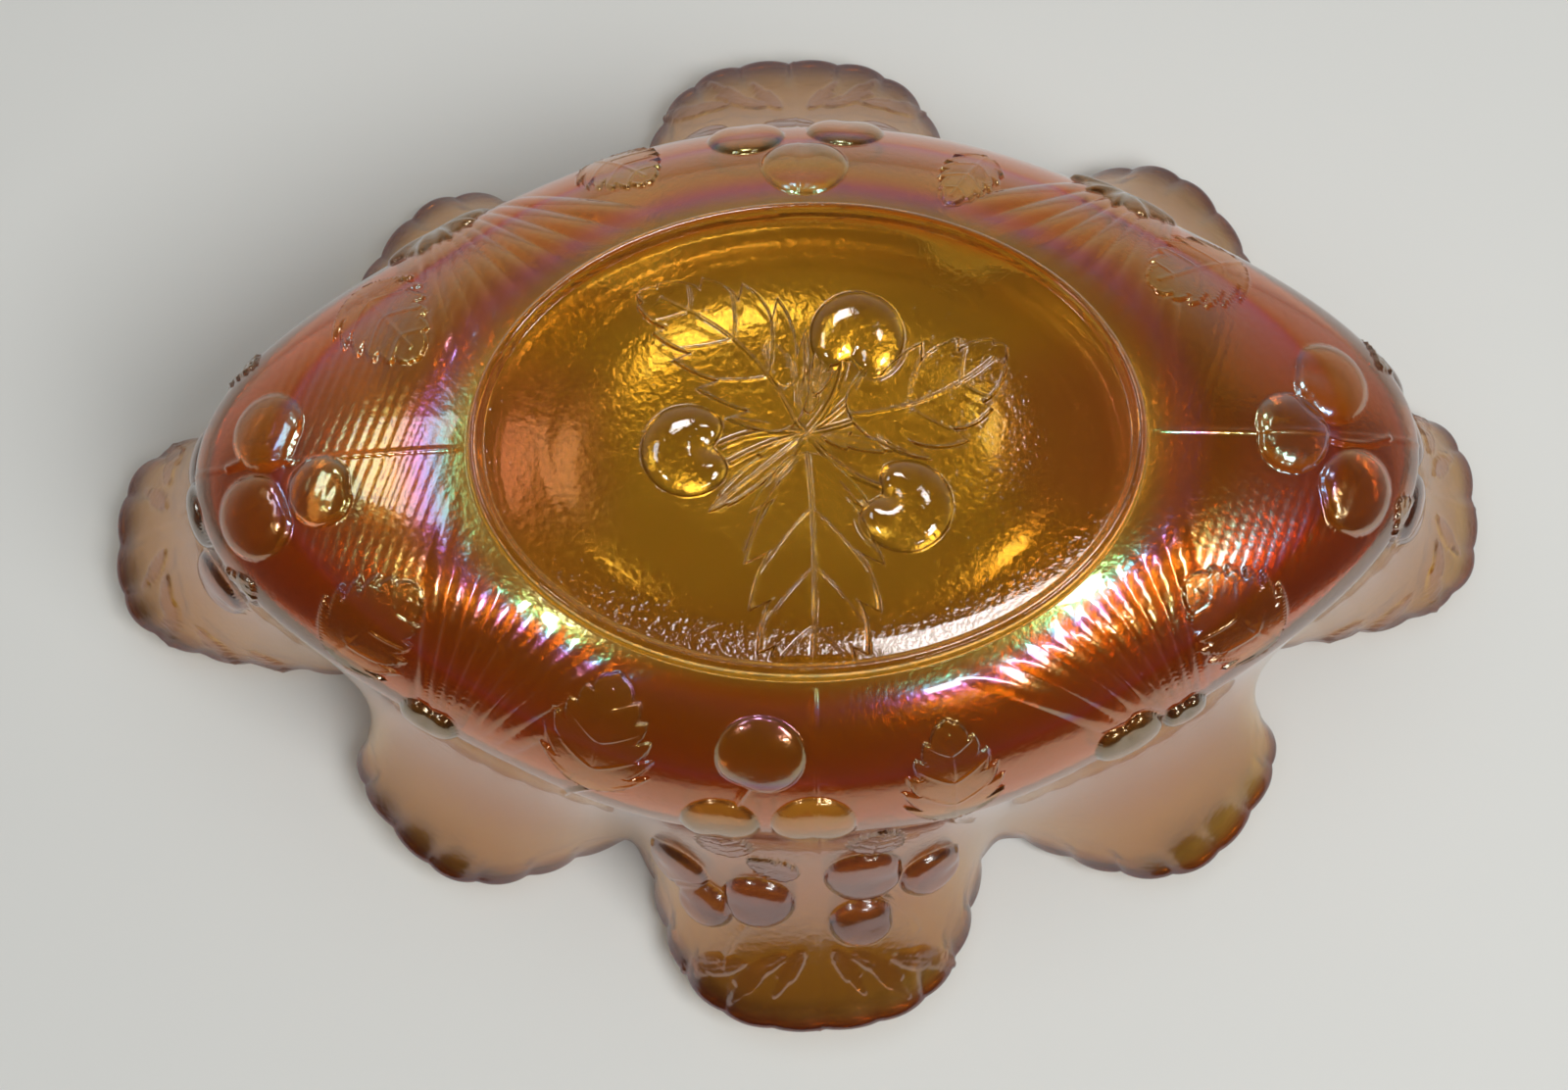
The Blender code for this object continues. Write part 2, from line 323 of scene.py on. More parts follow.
def underside_medallion(relief):
    """Three leaves and three cherries round one point, on the sunk underside."""
    centre = np.array((0.0, 1.0 * MM, RECESS_DEPTH))
    first, second = np.array((1.0, 0.0, 0.0)), np.array((0.0, 1.0, 0.0))
    hub = (centre, first, second)
    for turn, length, width, teeth, veins, bend, start in MEDALLION_LEAVES:
        relief.leaf(hub, turn, length * MM, width * MM, LEAF_HEIGHT, teeth, veins, bend, start * MM)
    for turn, start, length, width in MEDALLION_LEAFLETS:
        relief.leaf(hub, turn, length * MM, width * MM, LEAFLET_HEIGHT, teeth=2, veins=1, start=start * MM)
    for turn, away, radius, facing in MEDALLION_CHERRIES:
        x, y = away * MM * math.cos(math.radians(turn)), away * MM * math.sin(math.radians(turn))
        relief.cherry((centre + (x, y, 0.0), first, second), facing, radius * MM, CHERRY_HEIGHT, notch=0.45)
        relief.stalk(hub, turn, (away - radius + 3) * MM, 0.08, 0.6 * MM, 0.9 * MM)
    for turn, length in MEDALLION_STALKS:
        relief.stalk(hub, turn, length * MM, 0.04, 0.5 * MM, 0.8 * MM)


def body_pattern(relief, share):
    """Rib fans, cherries, leaves and sprays on the belly and the wall."""
    for x, y, first, spread in FANS:
        relief.fan((x * MM, y * MM), first, spread, FAN_RIBS, share)
    for angle, t, radius in HUB_CHERRIES:
        relief.cherry(frame_at(angle, t), 180, radius * MM)
    for angle, t in KNOTS:
        relief.shell(frame_at(angle, t), 180, KNOT_RADIUS)
    for angle, t, turn, length, width in LEAVES:
        relief.leaf(frame_at(angle, t), turn, length * MM, width * MM)
    for angle, t, turn, radius in CHERRIES:
        height = BELLY_CHERRY_HEIGHT if t < 1 else WALL_CHERRY_HEIGHT
        relief.cherry(frame_at(angle, t), turn, radius * MM, height, notch=0.12)
    for angle, t, turn, length, bend in STALKS:
        relief.stalk(frame_at(angle, t), turn, length * MM, bend)
    for angle, t, turn, length, width in SPRIGS:
        relief.leaf(frame_at(angle, t), turn, length * MM, width * MM, SPRIG_HEIGHT, teeth=1, veins=1)


# ---------------------------------------------------------------- the mesh

class Rings:
    """Rings of points from the underside round the rim to the floor, with values for the material."""

    NAMES = ("film", "wall_share", "motif", "inner_face", "steep")

    def __init__(self):
        self.points = []
        self.values = {name: [] for name in self.NAMES}

    def put(self, points, film, share, motif=0.0, inner=0.0, steep=0.0):
        self.points.append(points)
        for name, value in zip(self.NAMES, (film, share, motif, inner, steep)):
            self.values[name].append(np.broadcast_to(np.asarray(value, dtype=float), COLUMNS))


def rows(count):
    return max(3, int(count * ROW_SHARE))


def scallop_waves(angle):
    """Waves of one width all the way along the rim."""
    edge = outer(np.full(COLUMNS, 2.0), angle)
    gaps = np.linalg.norm(np.roll(edge, -1, 0) - edge, axis=1)
    along = np.concatenate([[0], np.cumsum(gaps)[:-1]])
    count = round(gaps.sum() / SCALLOP_SPACING)
    return np.abs(np.sin(np.pi * count * along / gaps.sum())) ** 0.7 - 0.6


def put_underside(rings, angle):
    """The sunk underside with its medallion, and the foot's land round it."""
    inset = LAND_WIDTH + RECESS_SLOPE
    full, _ = oval(angle, FOOT_LENGTH - 2 * inset, FOOT_WIDTH - 2 * inset)
    shares = np.linspace(0.01, 1.0, rows(UNDERSIDE_ROWS))
    under = []
    for share in shares:
        ring = full * share
        ring[:, 2] = RECESS_DEPTH - COVE * max(0.0, (share - UNDERSIDE_FLAT) / (1 - UNDERSIDE_FLAT)) ** 2
        under.append(ring)
    under = np.array(under)
    down = np.zeros_like(under)
    down[..., 2] = -1
    medallion = Relief(under, down)
    underside_medallion(medallion)
    fade = 1 - smooth(0.97, 1.0, shares)
    under = under + down * (medallion.height * fade[:, None])[..., None]
    # The steepness goes to the material, which paints shade on steep sides.
    leans = steepness(under, down) * smooth(0.02, 0.06, shares)[:, None]
    for ring, mark, lean in zip(under, medallion.marks, leans):
        rings.put(ring, 0.0, 0.0, mark, steep=lean)
    # The land: how far inside the foot's edge each ring lies, and its height.
    profile = ((inset - 0.12 * MM, RECESS_DEPTH - COVE - 0.15 * MM),
               (inset - 0.35 * MM, RECESS_DEPTH - COVE - 0.7 * MM), (LAND_WIDTH + 0.3 * MM, 0.9 * MM),
               (LAND_WIDTH + 0.05 * MM, 0.25 * MM),
               (LAND_WIDTH - 0.25 * MM, 0.0), (0.3 * MM, 0.0), (0.0, 0.12 * MM), (-0.4 * MM, 0.5 * MM),
               (-0.7 * MM, 1.2 * MM), (-0.9 * MM, 2.4 * MM), (-1.05 * MM, 3.6 * MM))
    for inward, height in profile:
        ring, _ = oval(angle, FOOT_LENGTH - 2 * inward, FOOT_WIDTH - 2 * inward)
        ring[:, 2] = height
        rings.put(ring, 0.0 if inward >= 0 else 1.0, 0.0)


def put_outside(rings, angle, waves):
    """The belly and the wall with their pattern, seams and scallops."""
    ts = np.concatenate([np.linspace(0, 1, rows(BELLY_ROWS), endpoint=False),
                         np.linspace(1, 2, rows(WALL_ROWS))])
    t_grid, a_grid = np.meshgrid(ts, angle, indexing="ij")
    body = outer(t_grid, a_grid)
    normal = outward(t_grid, a_grid)
    relief = Relief(body, normal)
    body_pattern(relief, t_grid)
    seam_gap = np.abs((np.degrees(a_grid) + 45) % 90 - 45) * np.linalg.norm(body[..., :2], axis=-1)
    relief.add(slice(None), SEAM_HEIGHT * np.exp(-(np.radians(seam_gap) / SEAM_WIDTH) ** 2))
    wave = 2 * np.pi * (body[..., 0] + 0.35 * body[..., 1]) / RIPPLE_WAVE
    ripple = np.sin(wave + 3 * np.sin(40 * body[..., 1]))
    ends = np.abs(np.cos(a_grid)) ** 6 * smooth(0.05, 0.15, t_grid) * (1 - smooth(0.5, 0.7, t_grid))
    relief.add(slice(None), RIPPLE_HEIGHT * ripple * ends)
    height = relief.height * smooth(0.0, 0.05, t_grid)
    # The steepness goes to the material, which paints shade on steep sides.
    leans = steepness(body + normal * height[..., None], normal)
    flutes = smooth(SCALLOP_START, 2.0, t_grid) * waves * SCALLOP_DEPTH
    body = body + normal * (height + flutes)[..., None]
    for ring, t, mark, lean in zip(body, ts, relief.marks, leans):
        rings.put(ring, 1.0, t, mark, steep=lean)


def inner_surface(angle, waves):
    """The inside, facing the plain outer surface across the glass."""
    ts = np.concatenate([np.linspace(0.0, 1, rows(INNER_BELLY_ROWS), endpoint=False),
                         np.linspace(1, 2, rows(INNER_WALL_ROWS))])
    t_grid, a_grid = np.meshgrid(ts, angle, indexing="ij")
    wall = np.where(t_grid <= 1, BELLY_WALL + (SHOULDER_WALL - BELLY_WALL) * t_grid,
                    SHOULDER_WALL + (RIM_WALL - SHOULDER_WALL) * (t_grid - 1))
    flutes = smooth(SCALLOP_START, 2.0, t_grid) * waves * SCALLOP_DEPTH
    return ts, outer(t_grid, a_grid) - outward(t_grid, a_grid) * (wall - flutes)[..., None]


def put_rim(rings, first, last):
    """Half a turn over the rim, from the last outer ring to the last inner one."""
    middle = (first + last) / 2
    radius = np.linalg.norm(last - first, axis=1, keepdims=True) / 2
    across = (last - first) / (2 * radius)
    around = np.roll(middle, -1, 0) - np.roll(middle, 1, 0)
    up = np.cross(around, across)
    up /= np.linalg.norm(up, axis=1, keepdims=True)
    up *= np.sign(up[:, 2:3])
    for turn in np.linspace(0, np.pi, ROUND_ROWS + 2)[1:-1]:
        rings.put(middle + radius * (up * math.sin(turn) - across * math.cos(turn)), 1.0, 2.0)


def put_floor(rings, angle, start):
    """The slope from the belly's lowest ring, and a floor that dishes up to a crisp edge."""
    floor, _ = oval(angle, FLOOR_LENGTH, FLOOR_WIDTH)
    for u in np.linspace(0, 1, rows(SLOPE_ROWS))[1:-1]:
        ring = start * (1 - u) + floor * u
        ring[:, 2] = start[:, 2] * (1 - u) + (FLOOR_HEIGHT + FLOOR_DISH) * u
        rings.put(ring, 1.0, 0.0, inner=1.0)
    for share in np.linspace(1, 0.02, rows(FLOOR_ROWS)):
        ring = floor * share
        ring[:, 2] = FLOOR_HEIGHT + FLOOR_DISH * np.clip((share - FLOOR_FLAT) / (1 - FLOOR_FLAT), 0, 1) ** 2.2
        rings.put(ring, 1.0, 0.0, inner=1.0)


def skin(rings):
    """One closed mesh through all the rings in order, with a fan of triangles at each end."""
    grid = np.array(rings.points)
    count = len(grid)
    points = np.concatenate([grid.reshape(-1, 3), [[0, 0, grid[0, 0, 2]], [0, 0, grid[-1, 0, 2]]]])
    i, j = np.meshgrid(np.arange(count - 1), np.arange(COLUMNS), indexing="ij")
    k = (j + 1) % COLUMNS
    quads = np.stack([i * COLUMNS + k, i * COLUMNS + j, (i + 1) * COLUMNS + j, (i + 1) * COLUMNS + k], -1)
    quads = quads.reshape(-1, 4)[:, ::-1]
    column = np.arange(COLUMNS)
    beside = (column + 1) % COLUMNS
    top = (count - 1) * COLUMNS
    low_fan = np.stack([beside, column, np.full(COLUMNS, len(points) - 2)], -1)
    high_fan = np.stack([top + column, top + beside, np.full(COLUMNS, len(points) - 1)], -1)
    triangles = np.concatenate([low_fan, high_fan])
    loops = np.concatenate([quads.ravel(), triangles.ravel()]).astype(np.int32)
    starts = np.concatenate([np.arange(len(quads)) * 4, len(quads) * 4 + np.arange(len(triangles)) * 3])
    mesh = bpy.data.meshes.new("bowl_glass")
    mesh.vertices.add(len(points))
    mesh.vertices.foreach_set("co", points.astype(np.float32).ravel())
    mesh.loops.add(len(loops))
    mesh.loops.foreach_set("vertex_index", loops)
    mesh.polygons.add(len(starts))
    mesh.polygons.foreach_set("loop_start", starts.astype(np.int32))
    mesh.update(calc_edges=True)
    mesh.validate()
    mesh.shade_smooth()
    for name, of_rings in rings.values.items():
        values = np.concatenate([np.array(of_rings).ravel(), [of_rings[0][0], of_rings[-1][0]]])
        layer = mesh.attributes.new(name, "FLOAT", "POINT")
        layer.data.foreach_set("value", values.astype(np.float32))
    return mesh


def build_bowl():
    """The bowl as one closed mesh: rings of points from the underside round to the floor."""
    angle = np.linspace(0, 2 * np.pi, COLUMNS, endpoint=False)
    waves = scallop_waves(angle)
    rings = Rings()
    put_underside(rings, angle)
    put_outside(rings, angle, waves)
    inner_ts, inside = inner_surface(angle, waves)
    put_rim(rings, rings.points[-1], inside[-1])
    for ring, t in zip(inside[::-1], inner_ts[::-1]):
        rings.put(ring, 1.0, t, inner=1.0)
    put_floor(rings, angle, inside[0])
    piece = bpy.data.objects.new("bowl_glass", skin(rings))
    bpy.context.scene.collection.objects.link(piece)
    return piece


# ---------------------------------------------------------------- materials

def colour(code):
    """An sRGB hex colour as linear RGBA."""
    parts = [int(code[i:i + 2], 16) / 255 for i in (0, 2, 4)]
    return tuple(c / 12.92 if c <= 0.04045 else ((c + 0.055) / 1.055) ** 2.4 for c in parts) + (1.0,)


def node(tree, kind, links=None, settings=None, **values):
    """Adds a node: values go to inputs by name, settings to the node, links join sockets."""
    made = tree.nodes.new(kind)
    for name, value in (settings or {}).items():
        setattr(made, name, value)
    for name, value in values.items():
        key = int(name[1:]) if name[1:].isdigit() else name.replace("_", " ")
        made.inputs[key].default_value = value
    for name, source in (links or {}).items():
        tree.links.new(source, made.inputs[name])
    return made


def new_material(name):
    material = bpy.data.materials.new(name)
    material.use_nodes = True
    material.node_tree.nodes.clear()
    return material, material.node_tree


# Colours of the coated glass from the collar (0) over the shoulder (0.5) to the rim (1): plain
# glass, and the raised motifs.
GLASS_COLOURS = ((0.0, "F2D254"), (0.04, "E89A26"), (0.25, "E4760E"), (0.46, "D8540A"), (0.52, "D87420"),
                 (0.62, "E29C38"), (0.85, "EFC05A"), (0.955, "EFC05A"), (1.0, "94460A"))
MOTIF_COLOURS = ((0.0, "F2D254"), (0.3, "D89C34"), (0.47, "D09A2C"), (0.53, "8E3010"),
                 (0.80, "96380F"), (0.88, "D08C3C"), (1.0, "D9A060"))
# Painted reflection of the inside film on the bare underside, orange and rosy, and painted shade for the
# steep sides of the relief.
PAINTED_ORANGE_REFLECTION, PAINTED_ROSY_REFLECTION, PAINTED_STEEP_SHADE = "DC8A24", "D4686C", "6A2208"

# Film depth in nanometres: a base and a cloudy part, less on the belly's ends. The outer film's
# share of it falls from the collar (0) to the rim (1).
OUTER_FILM, OUTER_CLOUDS, END_THINNING = 415.0, 170.0, 60.0
INNER_FILM, INNER_CLOUDS = 168.0, 110.0
FILM_SHARE = ((0.0, 0.72), (0.04, 0.66), (0.09, 0.54), (0.13, 0.49), (0.24, 0.42), (0.29, 0.235),
              (0.40, 0.20), (0.56, 0.17), (0.8, 0.08), (1.0, 0.06))

# Width of the film's clouds, and of the satin grain, which is drawn coarser than the real one.
CLOUD_SIZE, GRAIN_SIZE, GRAIN_DEPTH = 62.5 * MM, MM / 0.7, 0.4 * MM

GLASS_IOR, FILM_IOR, COAT_IOR = 1.52, 1.92, 1.6


def marigold_glass():
    """Marigold carnival glass: amber pressed glass, sprayed hot with metal salts.

    The spray leaves a thin satin film that turns pink, gold and green where it catches
    light. The ground underside has none, so it shows plain olive amber glass.
    """
    material, tree = new_material("marigold_pressed_glass")
    where = node(tree, "ShaderNodeTexCoord").outputs["Object"]
    film, share, motif, inner, steep = (
        node(tree, "ShaderNodeAttribute", settings={"attribute_name": name}).outputs["Fac"]
        for name in ("film", "wall_share", "motif", "inner_face", "steep"))

    def ramp(fac, *stops):
        made = node(tree, "ShaderNodeValToRGB", {"Fac": fac})
        elements = made.color_ramp.elements
        for place, code in stops[1:-1]:
            elements.new(place).color = colour(code)
        for element, (place, code) in ((elements[0], stops[0]), (elements[-1], stops[-1])):
            element.position, element.color = place, colour(code)
        return made.outputs["Color"]

    def math_node(operation, first, second, third=0.0):
        made = node(tree, "ShaderNodeMath", settings={"operation": operation})
        for socket, value in zip(made.inputs, (first, second, third)):
            if isinstance(value, (int, float)):
                socket.default_value = value
            else:
                tree.links.new(value, socket)
        return made.outputs[0]

    def step(value, low, high, top=1.0):
        made = node(tree, "ShaderNodeMapRange", {"Value": value}, {"interpolation_type": "SMOOTHSTEP"},
                    From_Min=low, From_Max=high, To_Max=top)
        return made.outputs["Result"]

    def tint(under, factor, code):
        made = node(tree, "ShaderNodeMix", {"Factor": factor, 6: under}, {"data_type": "RGBA"})
        made.inputs[7].default_value = colour(code)
        return made.outputs[2]

    half = math_node("MULTIPLY", share, 0.5)
    body = ramp(half, *GLASS_COLOURS)
    figures = ramp(half, *MOTIF_COLOURS)
    blend = node(tree, "ShaderNodeMix", {"Factor": math_node("MULTIPLY", motif, 0.85), 6: body, 7: figures},
                 {"data_type": "RGBA"})
    # Painted reflection: the inside film's sheen, seen through the bare underside, is painted into its
    # colour, orange towards the foot's edge and rosy at the ends.
    parts = node(tree, "ShaderNodeSeparateXYZ", {"Vector": where})
    ends = math_node("ABSOLUTE", parts.outputs["X"], 0.0)
    far_x = math_node("POWER", math_node("DIVIDE", ends, FOOT_LENGTH / 2), 2.0)
    far_y = math_node("POWER", math_node("DIVIDE", parts.outputs["Y"], FOOT_WIDTH / 2), 2.0)
    bare = math_node("SUBTRACT", 1.0, film)
    ring = math_node("MULTIPLY", bare, step(math_node("ADD", far_x, far_y), 0.35, 0.95, 0.75))
    shown = tint(blend.outputs[2], ring, PAINTED_ORANGE_REFLECTION)
    painted_rosy_reflection_mask = math_node("MULTIPLY", bare, math_node("MULTIPLY", step(ends, 32 * MM, 46 * MM, 0.6),
                                                 math_node("SUBTRACT", 1.0, step(far_y, 0.0, 0.25))))
    shown = tint(shown, painted_rosy_reflection_mask, PAINTED_ROSY_REFLECTION)
    # Painted shade: steep sides of the relief are tinted dark, standing in for the dark look of the glass
    # seen edge-on.
    shown = tint(shown, math_node("MULTIPLY", steep, 0.9), PAINTED_STEEP_SHADE)
    # The film is deep by the foot, thin on the shoulder and uneven all over.
    clouds = node(tree, "ShaderNodeTexNoise", {"Vector": where},
                  Scale=1 / CLOUD_SIZE, Detail=3.0, Roughness=0.5)
    curve = node(tree, "ShaderNodeFloatCurve", {"Value": half})
    points = curve.mapping.curves[0].points
    points[0].location, points[1].location = FILM_SHARE[0], FILM_SHARE[-1]
    for place in FILM_SHARE[1:-1]:
        points.new(*place)
    curve.mapping.update()
    uneven = math_node("MULTIPLY_ADD", clouds.outputs["Fac"], OUTER_CLOUDS, OUTER_FILM)
    uneven = math_node("SUBTRACT", uneven, step(ends, 62 * MM, 88 * MM, END_THINNING))
    outer_depth = math_node("MULTIPLY", curve.outputs[0], uneven)
    inner_depth = math_node("MULTIPLY_ADD", clouds.outputs["Fac"], INNER_CLOUDS, INNER_FILM)
    depth = node(tree, "ShaderNodeMix", {"Factor": inner, 2: outer_depth, 3: inner_depth})
    depth = math_node("MULTIPLY", depth.outputs[0], film)
    # Bare glass is polished. The film is satin, and looks a little metallic, more so inside.
    rough = math_node("MULTIPLY_ADD", film, 0.15, 0.03)
    metal = math_node("MULTIPLY", film, math_node("MULTIPLY_ADD", inner, 0.20, 0.04))
    grain = node(tree, "ShaderNodeTexNoise", {"Vector": where}, Scale=1 / GRAIN_SIZE, Detail=2.0)
    bump = node(tree, "ShaderNodeBump", {"Height": grain.outputs["Fac"]}, Strength=0.2, Distance=GRAIN_DEPTH)
    shader = node(tree, "ShaderNodeBsdfPrincipled",
                  {"Base Color": shown, "Roughness": rough, "Metallic": metal,
                   "Normal": bump.outputs["Normal"], "Thin Film Thickness": depth,
                   "Coat Weight": math_node("SUBTRACT", 0.8, step(half, 0.5, 0.8, 0.6))},
                  IOR=GLASS_IOR, Transmission_Weight=1.0,
                  Coat_Roughness=0.03, Coat_IOR=COAT_IOR, Thin_Film_IOR=FILM_IOR)
    node(tree, "ShaderNodeOutputMaterial", {"Surface": shader.outputs["BSDF"]})
    return material


# The stage's pale paper, and how many of its faint clouds there are in a metre.
PALE, CLOTH_CLOUDS, CLOUD_SHADE = "DEDEDD", 9.0, 0.97


def one_sided(name, mirrored=False):
    """Matt paper that only its front face shows. Reflections see through it unless it is mirrored."""
    material, tree = new_material(name)
    side = node(tree, "ShaderNodeNewGeometry").outputs["Backfacing"]
    if not mirrored:
        path = node(tree, "ShaderNodeLightPath")
        side = node(tree, "ShaderNodeMath", {0: side, 1: path.outputs["Glossy Depth"]},
                    {"operation": "ADD", "use_clamp": True}).outputs[0]
    where = node(tree, "ShaderNodeTexCoord")
    cloud = node(tree, "ShaderNodeTexNoise", {"Vector": where.outputs["Object"]},
                 Scale=CLOTH_CLOUDS, Detail=4.0)
    shade = node(tree, "ShaderNodeMix", {"Factor": cloud.outputs["Fac"]}, {"data_type": "RGBA"})
    shade.inputs[6].default_value = colour(PALE)
    shade.inputs[7].default_value = tuple(c * CLOUD_SHADE for c in colour(PALE)[:3]) + (1.0,)
    matt = node(tree, "ShaderNodeBsdfDiffuse", {"Color": shade.outputs[2]})
    clear = node(tree, "ShaderNodeBsdfTransparent")
    mix = node(tree, "ShaderNodeMixShader", {0: side, 1: matt.outputs[0], 2: clear.outputs[0]})
    node(tree, "ShaderNodeOutputMaterial", {"Surface": mix.outputs[0]})
    return material


# ---------------------------------------------------------------- stage, lights and camera

# Sheets: how far they reach, the hole's share of the rim's outline, and the gap between two sheets.
SHEET_REACH, SHEET_STEPS, HOLE_SHARE, SHEET_GAP = 3.0, 240, 0.97, 0.2 * MM

# Lights: direction from the bowl in degrees, distance, size, power, colour and what it lights.
LIGHTS = (
    ("key_low", -140, -56, 1.5, (0.8, 0.8), 15.0, "FFFFFC", "stage"),
    ("cloth_fill", -100, -88, 1.6, (2.0, 2.0), 12.5, "FDFFFA", "stage"),
    ("window_low", 20, -58, 1.1, (0.32, 0.16), 0.9, "E4F2FF", "glass"),
    ("window_front", -148, -52, 1.3, (0.26, 0.18), 1.9, "FFFEF8", "glass"),
    ("lamp_low_left", -30, -58, 1.2, (0.14, 0.08), 1.2, "FFFDF6", "glass"),
    ("lamp_low_right", -156, -60, 1.2, (0.14, 0.10), 1.4, "FFFCF4", "glass"),
    ("lamp_low_front", -118, -46, 1.3, (0.26, 0.06), 1.1, "FFFCF4", "glass"),
    ("under_right", 77, -61, 1.2, (0.24, 0.22), 2.2, "FFFEFA", "glass"),
    ("under_left", 129, -70, 1.2, (0.12, 0.10), 0.45, "FFFEFA", "glass"),
    ("window_high", -145, 52, 1.5, (0.7, 0.5), 14.0, "F6FAFF", "stage"),
    ("fill_high", 40, 45, 1.5, (0.6, 0.6), 7.0, "FFFDF8", "stage"))

# Cards that the inside of the bowl mirrors: direction in degrees, distance, size and brightness.
CARDS = (("window_card", -145, 52, 1.5, (0.7, 0.5), 7.0), ("fill_card", 40, 45, 1.5, (0.6, 0.6), 3.0))

# The room: sky strength and colour, its darkest and palest directions, and how much +Y counts for.
SKY, DARK_SKY, PALE_SKY, SKY_LEAN = "ECECEA", (-0.75, 0.03), (0.8, 0.66), 0.7


def sheet(name, height, faces_up, material, mirrored=False):
    """A level sheet of the stage, seen from one side only.

    A mirrored one shows in reflections too, and is open over the mouth of the bowl.
    """
    turn = np.linspace(0, 2 * np.pi, SHEET_STEPS, endpoint=False)
    edge = SHEET_REACH * np.stack([np.cos(turn), np.sin(turn)], -1)
    hole = HOLE_SHARE * outer(np.full(SHEET_STEPS, 2.0), turn)[:, :2]
    inner_edge = hole if mirrored else hole * 0
    points = [(x, y, height) for x, y in np.concatenate([inner_edge, edge])]
    faces = []
    for i in range(SHEET_STEPS):
        j = (i + 1) % SHEET_STEPS
        face = (i, SHEET_STEPS + i, SHEET_STEPS + j, j)
        faces.append(face if faces_up else face[::-1])
    mesh = bpy.data.meshes.new(name)
    mesh.from_pydata(points, [], faces)
    mesh.materials.append(material)
    made = bpy.data.objects.new(name, mesh)
    bpy.context.scene.collection.objects.link(made)
    made.visible_shadow = False
    made.visible_diffuse = False
    made.visible_glossy = mirrored
    made.visible_camera = not mirrored
    return made


def direction(azimuth, elevation):
    a, e = math.radians(azimuth), math.radians(elevation)
    return Vector((math.cos(a) * math.cos(e), math.sin(a) * math.cos(e), math.sin(e)))


def area_light(name, azimuth, elevation, distance, size, power, code):
    """A soft light that faces the bowl from a direction given in degrees."""
    aim = direction(azimuth, elevation)
    data = bpy.data.lights.new(name, "AREA")
    data.shape = "RECTANGLE"
    data.size, data.size_y = size
    data.energy = power
    data.color = colour(code)[:3]
    lamp = bpy.data.objects.new(name, data)
    lamp.location = aim * distance + Vector((0, 0, HEIGHT / 3))
    lamp.rotation_euler = aim.to_track_quat("Z", "Y").to_euler()
    bpy.context.scene.collection.objects.link(lamp)
    return lamp


def card(name, azimuth, elevation, distance, size, brightness):
    """A glowing card that shows only in reflections, as a window does in polished glass."""
    aim = direction(azimuth, elevation)
    wide, tall = size[0] / 2, size[1] / 2
    corners = [(-wide, -tall, 0), (wide, -tall, 0), (wide, tall, 0), (-wide, tall, 0)]
    mesh = bpy.data.meshes.new(name)
    mesh.from_pydata(corners, [], [(0, 1, 2, 3)])
    material, tree = new_material(name)
    glow = node(tree, "ShaderNodeEmission", Strength=brightness)
    node(tree, "ShaderNodeOutputMaterial", {"Surface": glow.outputs[0]})
    material.cycles.emission_sampling = "NONE"
    mesh.materials.append(material)
    made = bpy.data.objects.new(name, mesh)
    made.location = aim * distance
    made.rotation_euler = aim.to_track_quat("Z", "Y").to_euler()
    bpy.context.scene.collection.objects.link(made)
    made.visible_camera = made.visible_diffuse = made.visible_shadow = made.visible_transmission = False


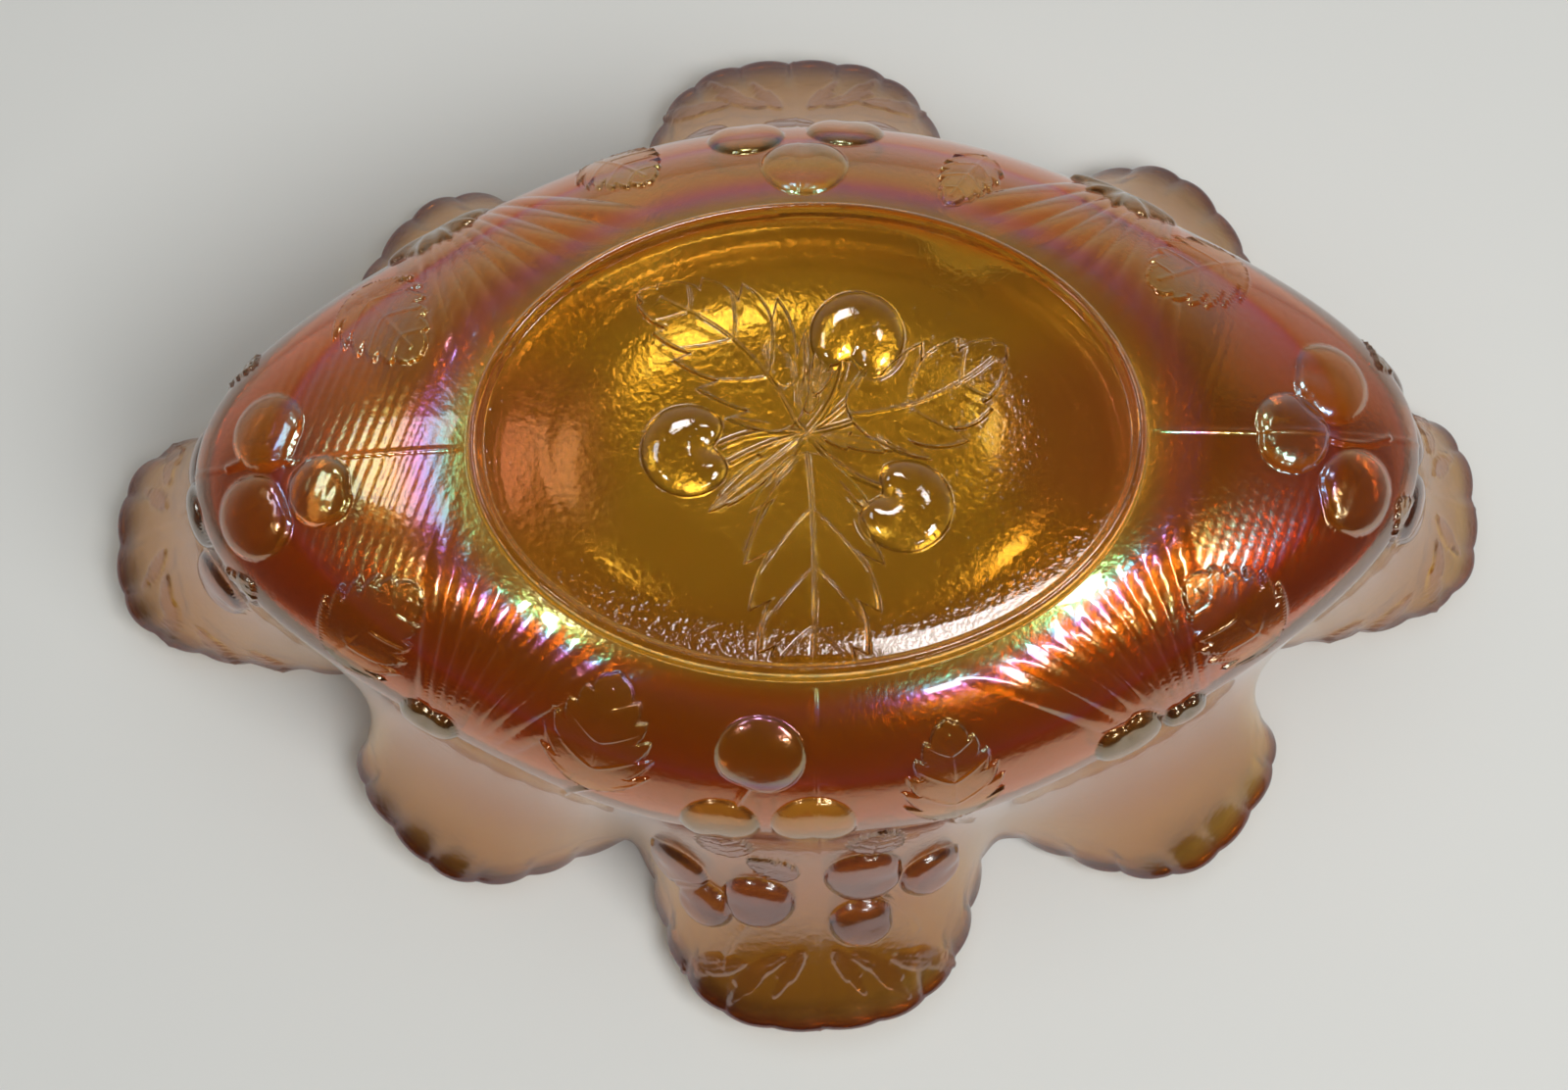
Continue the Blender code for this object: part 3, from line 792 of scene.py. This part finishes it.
def make_stage(glass):
    """A floor under the foot, a cloth that the rim lies on when seen from below, and the lights."""
    scene = bpy.context.scene
    sheets = (
        sheet("floor", 0.0, True, one_sided("pale_floor")),
        sheet("cloth", HEIGHT, False, one_sided("pale_cloth")),
        sheet("cloth_round_bowl", HEIGHT + SHEET_GAP, False, one_sided("cloth_in_glass", True), True))
    world = bpy.data.worlds.new("studio")
    world.use_nodes = True
    tree = world.node_tree
    sky = tree.nodes["Background"]
    # The room is darker below and towards -Y, and pale above and towards +Y.
    where = node(tree, "ShaderNodeTexCoord")
    parts = node(tree, "ShaderNodeSeparateXYZ", {"Vector": where.outputs["Generated"]})
    lean = node(tree, "ShaderNodeMath", {0: parts.outputs["Y"], 2: parts.outputs["Z"]},
                {"operation": "MULTIPLY_ADD"}, _1=SKY_LEAN)
    ramp = node(tree, "ShaderNodeMapRange", {"Value": lean.outputs[0]},
                {"interpolation_type": "SMOOTHSTEP"}, From_Min=DARK_SKY[0], From_Max=PALE_SKY[0],
                To_Min=DARK_SKY[1], To_Max=PALE_SKY[1])
    tree.links.new(ramp.outputs["Result"], sky.inputs["Strength"])
    sky.inputs["Color"].default_value = colour(SKY)
    scene.world = world
    # Most lamps light only the glass or only the sheets, so that neither is washed out.
    lit = {"glass": bpy.data.collections.new("lit_glass"), "stage": bpy.data.collections.new("lit_stage")}
    lit["glass"].objects.link(glass)
    for made in sheets:
        lit["stage"].objects.link(made)
    for name, azimuth, elevation, distance, size, power, code, target in LIGHTS:
        lamp = area_light(name, azimuth, elevation, distance, size, power, code)
        if target in lit:
            lamp.light_linking.receiver_collection = lit[target]
    for values in CARDS:
        card(*values)
    scene.view_settings.view_transform = "Standard"
    scene.cycles.max_bounces = 12
    scene.cycles.diffuse_bounces = 2
    scene.cycles.glossy_bounces = 5
    scene.cycles.transmission_bounces = 10


# Camera: tilt and roll in radians, place in metres and lens in millimetres.
TILT, ROLL, CAMERA_PLACE, LENS = 0.21, 0.026, (0.0051, -0.1268, -0.4915), 60


def make_camera():
    """The bowl is seen from under its foot, a little from one long side."""
    forward = Vector((0, math.sin(TILT), math.cos(TILT)))
    level_up = Vector((0, math.cos(TILT), -math.sin(TILT)))
    level_right = Vector((-1, 0, 0))
    right = level_right * math.cos(ROLL) - level_up * math.sin(ROLL)
    up = level_right * math.sin(ROLL) + level_up * math.cos(ROLL)
    data = bpy.data.cameras.new("camera")
    data.lens = LENS
    data.sensor_width = 36
    data.clip_start = 0.01
    camera = bpy.data.objects.new("camera", data)
    turn = Matrix((right, up, -forward)).transposed().to_4x4()
    camera.matrix_world = Matrix.Translation(CAMERA_PLACE) @ turn
    bpy.context.scene.collection.objects.link(camera)
    bpy.context.scene.camera = camera


# ---------------------------------------------------------------- the scene

make_camera()
bowl = build_bowl()
make_stage(bowl)
bowl.data.materials.append(marigold_glass())
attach(bowl, "root")
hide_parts("glass_bowl")
